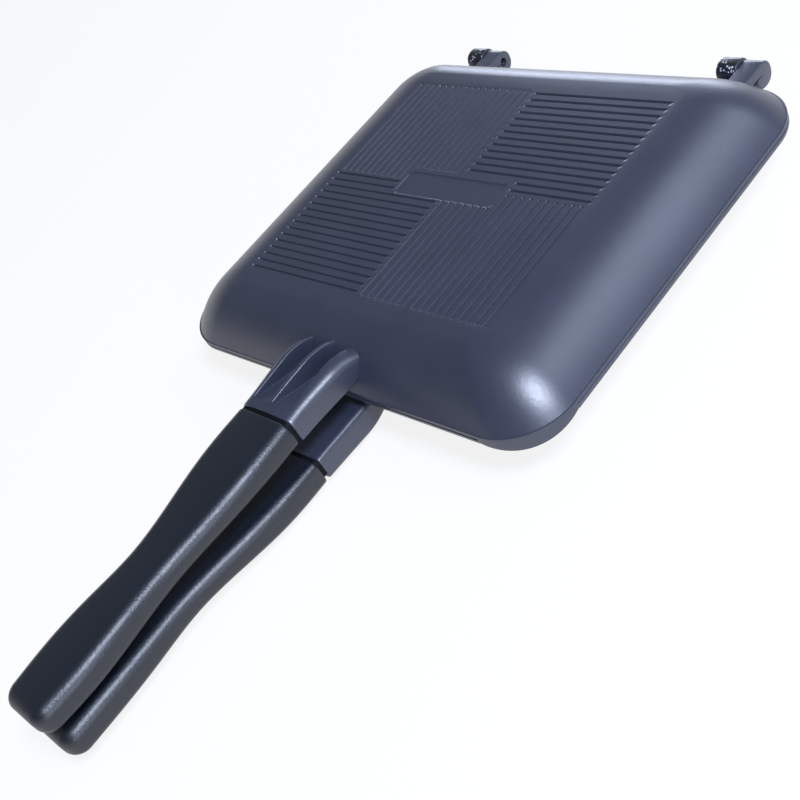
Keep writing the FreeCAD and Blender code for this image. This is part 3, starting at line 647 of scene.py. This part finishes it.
@dataclass
class Neck:
    """Cast neck with two sloping channels, which leave a middle fin and two side walls."""

    width: float = 31.2
    front: float = -121.5
    root: float = -79.5
    rim: float = -93.5
    underside: float = 5.85  # a little inside the screw's head
    front_height: float = 17.2
    crest_height: float = 19.2
    crest_inset: float = 2.6
    root_height: float = 14.2
    crest_blend: float = 7.0
    arch: float = 0.7  # how much higher the middle is than the channels' outer sides
    flare: float = 1.8  # how much further out each side stands at the pan
    fin_lean: float = 1.0  # how far the fin leans over to the right there
    shoulder: float = 4.0
    inner_radius: float = 1.2
    band: float = 4.4
    step: float = 0.8
    fin: float = 2.2
    wall: float = 4.9
    channel_floor: float = 8.4
    channel_end: float = 7.5
    root_slope: float = 0.45  # the underside rises so that the root stays in the pan's wall
    lip_cover: float = 3.5
    skin: float = 0.3
    edge: float = 0.7  # rounding of the ribs' edges
    floor_edge: float = 0.12  # the much sharper corners at the channels' floor
    front_edge: float = 0.6

    def top(self, y: Array) -> Array:
        """Top line: the lower of two straight slopes, blended where they meet at the crest.

        Args:
            y: place along Y.

        Returns:
            Height above the parting plane.
        """
        crest = self.rim + self.crest_inset
        rise = (self.crest_height - self.front_height) / (crest - self.front)
        fall = (self.root_height - self.crest_height) / (self.root - crest)
        before = self.front_height + rise * (y - self.front)
        after = self.crest_height + fall * (y - crest)
        width = (rise - fall) * self.crest_blend
        near = np.maximum(width - np.abs(before - after), 0.0) / width
        return np.minimum(before, after) - near * near * width / 4

    def surface(self) -> Surface:
        """Outline of the neck's cross-section, carried along Y.

        The outline goes round the underside, the shoulders and down into both channels, whose
        depth is 0 before the band, then the step, then grows in a straight line to the floor.
        Where a channel is shallow, the roundings of its edges are squeezed to half its depth.

        Returns:
            The closed neck.
        """
        start = self.front + self.band
        # The sections stand closest at the front edge and at the step.
        y = np.concatenate([
            self.front + self.front_edge * EDGE_SHARES,
            np.linspace(self.front + 1.2, start - 0.3, 5), [start - 0.02, start + 0.25],
            np.linspace(start + 0.8, self.root, 64)])
        top = self.top(y)
        low = self.underside + self.root_slope * np.maximum(y - self.rim - self.lip_cover, 0.0)
        floor_line = np.interp(y, [start, self.rim + self.channel_end],
                               [self.front_height - self.step, self.channel_floor])
        floor_line = np.maximum(floor_line, low + self.skin)
        depth = np.where(y < start, 0.0, np.maximum(top - floor_line, 0.0))
        edge, foot = np.minimum(depth / 2, self.edge), np.minimum(depth / 2, self.floor_edge)
        high, deep = top - edge, top - depth + foot
        half, inner = self.width / 2, self.inner_radius
        wall, fin = half - self.wall, self.fin / 2
        side = np.concatenate([
            arc((half - inner, low + inner), inner, -90, 0, 8)[:, 1:],
            arc((half - self.shoulder, top - self.shoulder), self.shoulder, 0, 90, 12),
            arc((wall + self.edge, high), self.edge, 90, 180, 6, edge),
            arc((wall - self.floor_edge, deep), self.floor_edge, 0, -90, 9, foot),
            arc((fin + self.floor_edge, deep), self.floor_edge, -90, -180, 9, foot),
            arc((fin - self.edge, high), self.edge, 0, 90, 6, edge)], axis=1)
        outline = np.concatenate([level_run(half - inner, low, np.linspace(-1.0, 1.0, 8)), side,
                                  side[:, ::-1] * (-1.0, 1.0)], axis=1)
        self.bend(outline, y, low, top)
        return Surface.along_y(outline, y, (low + top) / 2)

    def bend(self, outline: Array, y: Array, low: Array, top: Array) -> None:
        """Arch and spread the outline, and round its front edge.

        The upper part rises by arch * (1 - (x / wall)^2). Towards the pan both sides move out
        by the flare, and the fin by its lean. Near the front face the outline is drawn in
        towards its middle along a quarter circle.

        Args:
            outline: sections by points by x and z, changed in place.
            y: place of each section.
            low: its underside.
            top: its top line.
        """
        start, half = self.front + self.band, self.width / 2
        x, z = outline[..., 0], outline[..., 1]
        middle = ((low + top) / 2)[:, None]
        share = ease((z - middle) / (top[:, None] - middle))
        z += self.arch * share * (1.0 - (x / (half - self.wall)) ** 2)
        spread = ease((y - start) / (self.rim + self.channel_end - start))[:, None]
        outer = np.clip((np.abs(x) - half + self.wall) / self.wall, 0.0, 1.0)
        x += spread * self.flare * outer * np.sign(x)
        x += spread * self.fin_lean * (np.abs(x) < self.fin)
        inset = self.front_edge * round_in(1.0 - (y - self.front) / self.front_edge)[:, None]
        x *= 1.0 - inset / half
        z += (middle - z) * inset / (top[:, None] - middle)


@dataclass
class Lug:
    """A hinge lug: a root in the rim's wall and a rounded boss with a bore."""

    name: str
    near_face: float  # X of the face that meets the other half's lug
    far_face: float
    bore_to: float  # X where the bore ends, which may be the far face
    root: float = 88.5
    axis_y: float = 104.0
    gap: float = 0.2  # a little deeper than the meeting face, which hides its root
    outer_height: float = 4.8
    inner_height: float = 5.8
    end: float = 5.4
    heel: float = 4.8
    end_radius: float = 4.7
    heel_radius: float = 4.2
    bore_radius: float = 2.05
    edge: float = 0.6
    coat_slope: float = 0.3  # the inner coat is where the normal's height is over this,
    coat_top: float = -0.5  # below this level

    def outline(self) -> Array:
        """Side view: straight runs with arcs at the heel and at the two ends of the tip.

        Returns:
            Points by y and z, evenly spaced and going round once.
        """
        heel, tip = self.axis_y - self.heel, self.axis_y + self.end
        low, high = -self.inner_height, self.outer_height
        inner, outer = self.heel_radius, self.end_radius
        corner = np.concatenate([
            [[self.root, self.gap], [heel, self.gap]],
            arc((heel + inner, low + inner), inner, 180, 270, 12)[0],
            arc((tip - outer, low + outer), outer, -90, 0, 14)[0],
            arc((tip - outer, high - outer), outer, 0, 90, 14)[0],
            [[self.root, high], [self.root, self.gap]]])
        length = np.append(0.0, np.cumsum(np.hypot(*np.diff(corner, axis=0).T)))
        even = np.linspace(0.0, length[-1], 121)[:-1]
        return np.stack([np.interp(even, length, corner[:, 0]),
                         np.interp(even, length, corner[:, 1])], -1)

    def surface(self) -> Surface:
        """The bore's wall, then the side view carried along X with rounded face edges.

        The outline moves in along its own normal by the share of a quarter circle. The bore's
        rings have its points, in the same directions from the axis. A bore that goes through
        ends in its first ring again, and one that doesn't closes in a point.

        Returns:
            The closed lug.
        """
        outline = self.outline()
        run = np.roll(outline, -1, axis=0) - np.roll(outline, 1, axis=0)
        run /= np.linalg.norm(run, axis=1, keepdims=True)
        normal = np.stack([-run[:, 1], run[:, 0]], -1)
        inset = self.edge * round_in(1.0 - EDGE_SHARES)
        inset = np.append(inset, inset[::-1])
        rounding = math.copysign(self.edge, self.far_face - self.near_face) * EDGE_SHARES
        x = np.concatenate([[self.bore_to, self.near_face],
                            self.near_face + rounding, self.far_face - rounding[::-1]])
        axis = np.array([self.axis_y, 0.0])
        off = outline - axis
        circle = axis + self.bore_radius * off / np.linalg.norm(off, axis=1, keepdims=True)
        flat = np.concatenate([[circle, circle], outline + normal * inset[:, None, None]])
        inside = np.zeros(flat.shape[:2])
        inside[3:-1] = (normal[:, 1] > self.coat_slope) & (outline[:, 1] < self.coat_top)
        through = self.bore_to == self.far_face
        rows = np.arange(len(x) + through) % len(x)
        surface = Surface()
        numbers = surface.add_grid(np.insert(flat, 0, x[:, None], axis=-1)[rows], inside[rows])
        if not through:
            surface.add_pole(numbers[0], (self.bore_to, self.axis_y, 0.0))
            surface.add_pole(numbers[-1], (self.far_face, self.axis_y, 0.0))
        return surface


# Grips


def natural_spline(knots: tuple[float, ...], values: tuple[float, ...], places: Array) -> Array:
    """Cubic curve through points, with no bend at its two ends.

    It is a + b x + the sum of c |x - knot|^3, where the weights c add up to 0, and so do the
    c times their knots.

    Args:
        knots: where the points stand.
        values: their values.
        places: where the curve is wanted.

    Returns:
        The curve's values.
    """
    count = len(knots)
    system = np.zeros((count + 2, count + 2))
    system[:count, :count] = np.abs(np.subtract.outer(knots, knots)) ** 3
    system[count:, :count] = np.ones(count), knots
    system[:count, count:] = system[count:, :count].T
    weights = np.linalg.solve(system, [*values, 0.0, 0.0])
    return weights @ [*np.abs(np.subtract.outer(knots, places)) ** 3, places ** 0, places]


@dataclass
class Grip:
    """Moulded grip: a rounded section that widens and narrows along the hand."""

    start: float = -123.3
    length: float = 136.5
    end_round: float = 7.0
    end_side: float = 6.0
    end_face: float = 4.6
    end_corner: float = 0.7
    outer_radius: float = 5.6
    inner_radius: float = 4.4
    root_inner_radius: float = 3.2
    arch: float = 0.5  # how much lower the top is where its rounding starts
    shares: tuple[float, ...] = (0.0, 0.17, 0.34, 0.53, 0.72, 0.88, 1.0)
    half_widths: tuple[float, ...] = (15.7, 15.9, 14.1, 11.9, 12.6, 13.3, 13.1)
    tops: tuple[float, ...] = (17.4, 16.7, 15.2, 14.1, 14.8, 14.8, 14.6)
    inners: tuple[float, ...] = (5.6, 4.8, 4.1, 3.2, 2.5, 1.9, 1.8)
    root_edge: float = 0.5
    end_rows: int = 15

    def surface(self) -> Surface:
        """Rounded rectangles carried along Y, drawn in along a quarter ellipse at the end.

        Half width, top and inner side follow one smooth curve each through the stations. In
        the last stretch they draw in by 1 - sqrt(1 - t^2). The top is arched: it sinks by
        arch * (x / half width)^2.

        Returns:
            The closed grip.
        """
        # The first sections stand close for the start's edge, the last ones for the end.
        share = np.concatenate([[0.0, 0.0006, 0.002, 0.004], np.linspace(0.01, 1.0, 110),
                                np.ones(self.end_rows)])
        past = np.zeros(len(share))
        past[-self.end_rows:] = np.sin(np.linspace(0.0, math.pi / 2, self.end_rows + 1)[1:])
        drawn = round_in(past)
        run = share * (self.length - self.end_round) + self.end_round * past
        half, high, low = (natural_spline(self.shares, values, share)
                           for values in (self.half_widths, self.tops, self.inners))
        start_edge = self.root_edge * round_in(1.0 - run / self.root_edge)
        half = half - self.end_side * drawn - start_edge
        low = low + self.end_face * drawn + start_edge
        high = high - self.end_face * drawn - start_edge
        kept = 1.0 - self.end_corner * drawn
        outer = self.outer_radius * kept
        inner = kept * np.interp(share, self.shares[:2],
                                 [self.root_inner_radius, self.inner_radius])
        outline = np.concatenate([
            arc((half - outer, high - outer), outer, 0, 90, 14),
            level_run(half - outer, high, np.linspace(1.0, -1.0, 9)[1:-1]),
            arc((outer - half, high - outer), outer, 90, 180, 14),
            arc((inner - half, low + inner), inner, 180, 270, 12),
            arc((half - inner, low + inner), inner, 270, 360, 12)], axis=1)
        upper = ease((outline[..., 1] - low[:, None]) / (high - low)[:, None])
        bend = (outline[..., 0] / half[:, None]) ** 2
        outline[..., 1] -= self.arch * kept[:, None] * upper * bend
        return Surface.along_y(outline, self.start - run, (low + high) / 2)


# Finishes


@dataclass(frozen=True)
class PanCoating:
    """Heat-resistant lacquer sprayed on cast aluminium, with flecked nonstick on the inside.

    The lacquer gives a satin blue-grey with soft highlights and the faint dimples of spraying.
    The nonstick is near black with pale flecks.
    """

    lacquer: str = "2a2e3d"
    lacquer_light: str = "363a4a"
    nonstick: str = "14161c"
    fleck: str = "c9cddc"
    cloud_mm: float = 22.0  # slow change of tone over the casting
    dimple_mm: float = 1.1  # sprayed dimples, drawn about twice as coarse as they are
    fleck_mm: float = 1.2  # one fleck at most in each cell of this size
    bare_share: float = 0.2  # how many cells have none
    fleck_size: float = 0.42  # radius of the largest one, over its cell's size
    rough: Pair = (0.3, 0.4)
    bump: Pair = (0.25, 0.00012)  # strength, and height in metres

    def build(self) -> Material:
        """Make the material. The edge between both coats is made ragged by the dimples."""
        material, tree = new_material("sprayed_lacquer_on_cast_aluminium")
        place = add_node(tree, "TexCoord")["Object"]
        cloud, dimple = (
            add_node(tree, "TexNoise", {
                "Vector": place, "Scale": per_metre(size), "Detail": detail})["Fac"]
            for size, detail in ((self.cloud_mm, 3.0), (self.dimple_mm, 2.0)))
        cell = add_node(tree, "TexVoronoi", {
            "Vector": place, "Scale": per_metre(self.fleck_mm)})
        chance = add_node(tree, "SeparateColor", {"Color": cell["Color"]})["Red"]
        size = add_node(tree, "MapRange", {
            "Value": chance, "From Min": self.bare_share, "To Max": self.fleck_size})["Result"]
        fleck = add_node(tree, "Math", {0: cell["Distance"], 1: size}, operation="LESS_THAN")
        inside = add_node(tree, "Attribute", attribute_name="inside")["Fac"]
        ragged = add_node(tree, "Math", {0: inside, 1: dimple}, operation="ADD")["Value"]
        inner = add_node(tree, "Math", {0: ragged, 1: 1.0}, operation="GREATER_THAN")["Value"]
        outer_tone, inner_tone = (
            add_node(tree, "Mix", {"Factor": share, "A": linear(base), "B": linear(other)},
                     data_type="RGBA")["Result"]
            for share, base, other in ((cloud, self.lacquer, self.lacquer_light),
                                       (fleck["Value"], self.nonstick, self.fleck)))
        end_material(tree, (inner, outer_tone, inner_tone), dimple, self.rough, self.bump,
                     IOR=1.5, Specular_IOR_Level=0.9)
        return material


@dataclass(frozen=True)
class Grained:
    """A material of two close tones, with a fine grain in its reflections."""

    name: str
    tones: tuple[str, str]
    rough: float
    grain_mm: float
    gloss: float = 0.5  # strength of its plain reflection, where 0.5 is a usual plastic
    tone_mm: float = 0.0  # 0 where the tone follows the grain
    stretch: float = 1.0  # scale of both patterns along Y
    detail: float = 2.0
    metallic: float = 0.0
    spread: float = 0.06  # how far the roughness goes up and down
    bump: Pair = (0.8, 0.00012)

    def build(self) -> Material:
        """Make the material."""
        material, tree = new_material(self.name)
        place = add_node(tree, "TexCoord")["Object"]
        place = add_node(tree, "Mapping", {
            "Vector": place, "Scale": (1.0, self.stretch, 1.0)})["Vector"]
        tone, grain = (
            add_node(tree, "TexNoise", {
                "Vector": place, "Scale": per_metre(size), "Detail": self.detail})["Fac"]
            for size in (self.tone_mm or self.grain_mm, self.grain_mm))
        end_material(tree, (tone, *map(linear, self.tones)), grain,
                     (self.rough - self.spread, self.rough + self.spread), self.bump,
                     IOR=1.5, Specular_IOR_Level=self.gloss, Metallic=self.metallic)
        return material


@dataclass(frozen=True)
class MouldedPlastic(Grained):
    """Glass-filled nylon or phenolic with a spark-eroded grain, near black and softly matt."""

    grain_mm: float = 0.9  # drawn about three times as coarse as it is
    tone_mm: float = 30.0


@dataclass(frozen=True)
class WorkedMetal(Grained):
    """Bright metal with fine drawn or turned lines, which are drawn coarser than they are."""

    stretch: float = 0.08
    detail: float = 3.0
    metallic: float = 1.0
    spread: float = 0.08
    bump: Pair = (0.2, 0.00005)


# Studio


@dataclass(frozen=True)
class Camera:
    """The photograph's camera, solved from the pattern of grooves."""

    place: tuple[float, float, float] = (0.34096, -0.24281, 0.30390)
    turn_deg: tuple[float, float, float] = (44.670, 26.247, 42.861)
    lens_mm: float = 53.498
    shift: Pair = (0.0625, 0.0425)

    def build(self) -> None:
        """Make the camera and hand it to the scene."""
        data = bpy.data.cameras.new("camera")
        data.lens = self.lens_mm
        data.sensor_width = 36.0
        data.shift_x, data.shift_y = self.shift
        data.clip_start, data.clip_end = 0.01, 20.0
        camera = add_object("camera", data)
        camera.location = self.place
        camera.rotation_euler = Euler([math.radians(angle) for angle in self.turn_deg])
        bpy.context.scene.camera = camera


@dataclass(frozen=True)
class Softbox:
    """A soft lamp that looks at one point."""

    name: str
    place: tuple[float, float, float]
    size: Pair
    power: float
    colour: str = "dce7ff"
    look_at: tuple[float, float, float] = (0.0, 0.0, 0.02)

    def build(self) -> None:
        """Make the lamp."""
        data = bpy.data.lights.new(self.name, "AREA")
        data.shape = "RECTANGLE"
        data.size, data.size_y = self.size
        data.energy = self.power
        data.color = linear(self.colour)[:3]
        lamp = add_object(self.name, data)
        lamp.location = self.place
        aim = Vector(self.look_at) - Vector(self.place)
        lamp.rotation_euler = aim.to_track_quat("-Z", "Y").to_euler()


@dataclass(frozen=True)
class Studio:
    """White floor, even sky and a few softboxes."""

    floor_middle: float = 0.5  # radius of the sweep's one flat face in the middle
    floor_flat: float = 2.4  # radius of all that is flat
    floor_reach: float = 6.0  # radius of its rim
    floor_rise: float = 1.3  # height of its rim
    floor_level: float = -0.0002
    floor_colour: str = "f4f4f4"
    white_share: float = 0.85  # how much of the floor the camera sees as plain white
    sky_colour: str = "dfe6f2"
    sky_strength: float = 0.25
    lamps: tuple[Softbox, ...] = (
        Softbox("key", (0.80, -0.12, 1.10), (0.38, 0.38), 19.5),
        Softbox("strip", (0.66, 0.76, 0.96), (0.70, 0.60), 4.6),
        Softbox("low_side", (1.25, -0.45, 0.40), (0.50, 0.50), 5.5),
        Softbox("back", (-0.65, 1.20, 0.26), (0.80, 0.36), 7.0),
    )

    def build(self) -> None:
        """Make the floor, the sky and the lamps, and set the view."""
        self.build_floor()
        world = bpy.data.worlds.new("sky")
        world.use_nodes = True
        bpy.context.scene.world = world
        sky = world.node_tree.nodes["Background"]
        sky.inputs["Color"].default_value = linear(self.sky_colour)
        sky.inputs["Strength"].default_value = self.sky_strength
        for lamp in self.lamps:
            lamp.build()
        bpy.context.scene.view_settings.view_transform = "Standard"

    def build_floor(self) -> None:
        """Make the sweep, which the camera and reflections see as almost plain white.

        It is a shallow bowl: height = level + rise * t^2, where t goes from 1 at the rim to 0
        at the edge of the flat middle.
        """
        share = np.append(np.linspace(1.0, 0.0, 25), 0.0)
        radius = self.floor_flat + (self.floor_reach - self.floor_flat) * share
        radius[-1] = self.floor_middle
        turn = np.linspace(0.0, 2 * math.pi, 97)[:-1]
        level = self.floor_level + self.floor_rise * share ** 2
        sweep = Surface()
        numbers = sweep.add_grid(np.stack(np.broadcast_arrays(
            np.outer(radius, np.cos(turn)), np.outer(radius, np.sin(turn)), level[:, None]), -1))
        sweep.faces.append(numbers[-1].tolist())
        mesh = bpy.data.meshes.new("floor")
        mesh.from_pydata(sweep.points[0].tolist(), [], sweep.faces)
        mesh.shade_smooth()
        floor = add_object("floor", mesh)
        mesh.materials.append(self.paper())

    def paper(self) -> Material:
        """White paper that glows a little in what the camera sees of it, also by reflection."""
        material, tree = new_material("white_paper_sweep")
        paths = add_node(tree, "LightPath")
        seen = paths["Is Camera Ray"]
        for kind in ("Is Glossy Ray", "Is Transmission Ray"):
            seen = add_node(tree, "Math", {0: seen, 1: paths[kind]}, operation="ADD")["Value"]
        share = add_node(tree, "Math", {0: seen, 1: self.white_share}, operation="MULTIPLY",
                         use_clamp=True)["Value"]
        matt = add_node(tree, "BsdfDiffuse", {"Color": linear(self.floor_colour)})["BSDF"]
        glow = add_node(tree, "Emission")["Emission"]
        mix = add_node(tree, "MixShader", {0: share, 1: matt, 2: glow})["Shader"]
        add_node(tree, "OutputMaterial", {"Surface": mix})
        return material


# The whole iron


@dataclass
class PieIron:
    """Both halves and the small parts that keep their CAD shape."""

    lug_width: float = 9.3
    lug_joint: float = 69.0
    lug_gap: float = 0.15
    pin_seat: float = 7.4
    necks: tuple[Neck, Neck] = (
        Neck(),
        Neck(crest_height=18.2, root_height=13.0, arch=0.0, flare=0.4, shoulder=2.2,
             inner_radius=2.4))
    grips: tuple[Grip, Grip] = (
        Grip(outer_radius=5.0, half_widths=(15.7, 15.9, 14.1, 12.1, 13.5, 14.2, 13.3)),
        Grip(outer_radius=3.4, inner_radius=5.2, arch=0.1,
             half_widths=(15.7, 15.9, 14.1, 11.9, 12.6, 13.4, 13.5),
             tops=(17.8, 17.2, 15.4, 13.8, 14.3, 14.3, 14.2)))

    def lugs(self) -> tuple[Lug, Lug]:
        """The left lug of a half, which is bored through, and the right one, for a pin."""
        joint, gap, width = self.lug_joint, self.lug_gap, self.lug_width
        return (Lug("left_lug", gap - joint, width - joint, width - joint),
                Lug("right_lug", joint + gap, joint + width, joint + gap + self.pin_seat))

    def dress(self, names: list[str], material: Material) -> None:
        """Give CAD nodes their finish.

        Args:
            names: the nodes' names.
            material: the finish.
        """
        for name in names:
            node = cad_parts[name]
            node.data.materials.clear()
            node.data.materials.append(material)
            log.info("%s: CAD shape, %s", name, material.name)

    def build(self) -> None:
        """Make and dress every piece."""
        coating = PanCoating().build()
        grip = MouldedPlastic(
            "moulded_glass_filled_nylon", ("08101b", "0d1723"), 0.4, gloss=0.75).build()
        spacer = MouldedPlastic("moulded_phenolic", ("060709", "0b0c0f"), 0.7, gloss=0.2).build()
        steel = WorkedMetal("drawn_zinc_plated_steel", ("b9bcc2", "8f9298"), 0.32, 0.5).build()
        nickel = WorkedMetal("nickel_plated_magnet", ("c6c4bc", "a8a69e"), 0.22, 0.8).build()
        for half, neck, moulding in zip(Half, self.necks, self.grips):
            pan = Pan(half)
            cast = {"neck": neck.surface(), "pan_crown": pan.crown(), "pan_shell": pan.shell()}
            cast.update((lug.name, lug.surface()) for lug in self.lugs())
            for name, surface in cast.items():
                surface.build(half, name, "pan", Slot.COATING, coating)
            moulding.surface().build(half, "grip_moulding", "grip", Slot.GRIP, grip)
            for names, finish in (("spacer magnet_cover", spacer), ("tang grip_screw", steel),
                                  ("neck_screw", coating), ("magnet", nickel)):
                self.dress([f"{half.value}_{name}" for name in names.split()], finish)
        self.dress(["left_hinge_pin", "right_hinge_pin"], steel)


def main() -> None:
    """Build the camera, the studio and the iron."""
    logging.basicConfig(level=logging.INFO, format="%(message)s")
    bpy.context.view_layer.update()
    Camera().build()
    Studio().build()
    PieIron().build()


if __name__ == "__main__":
    main()
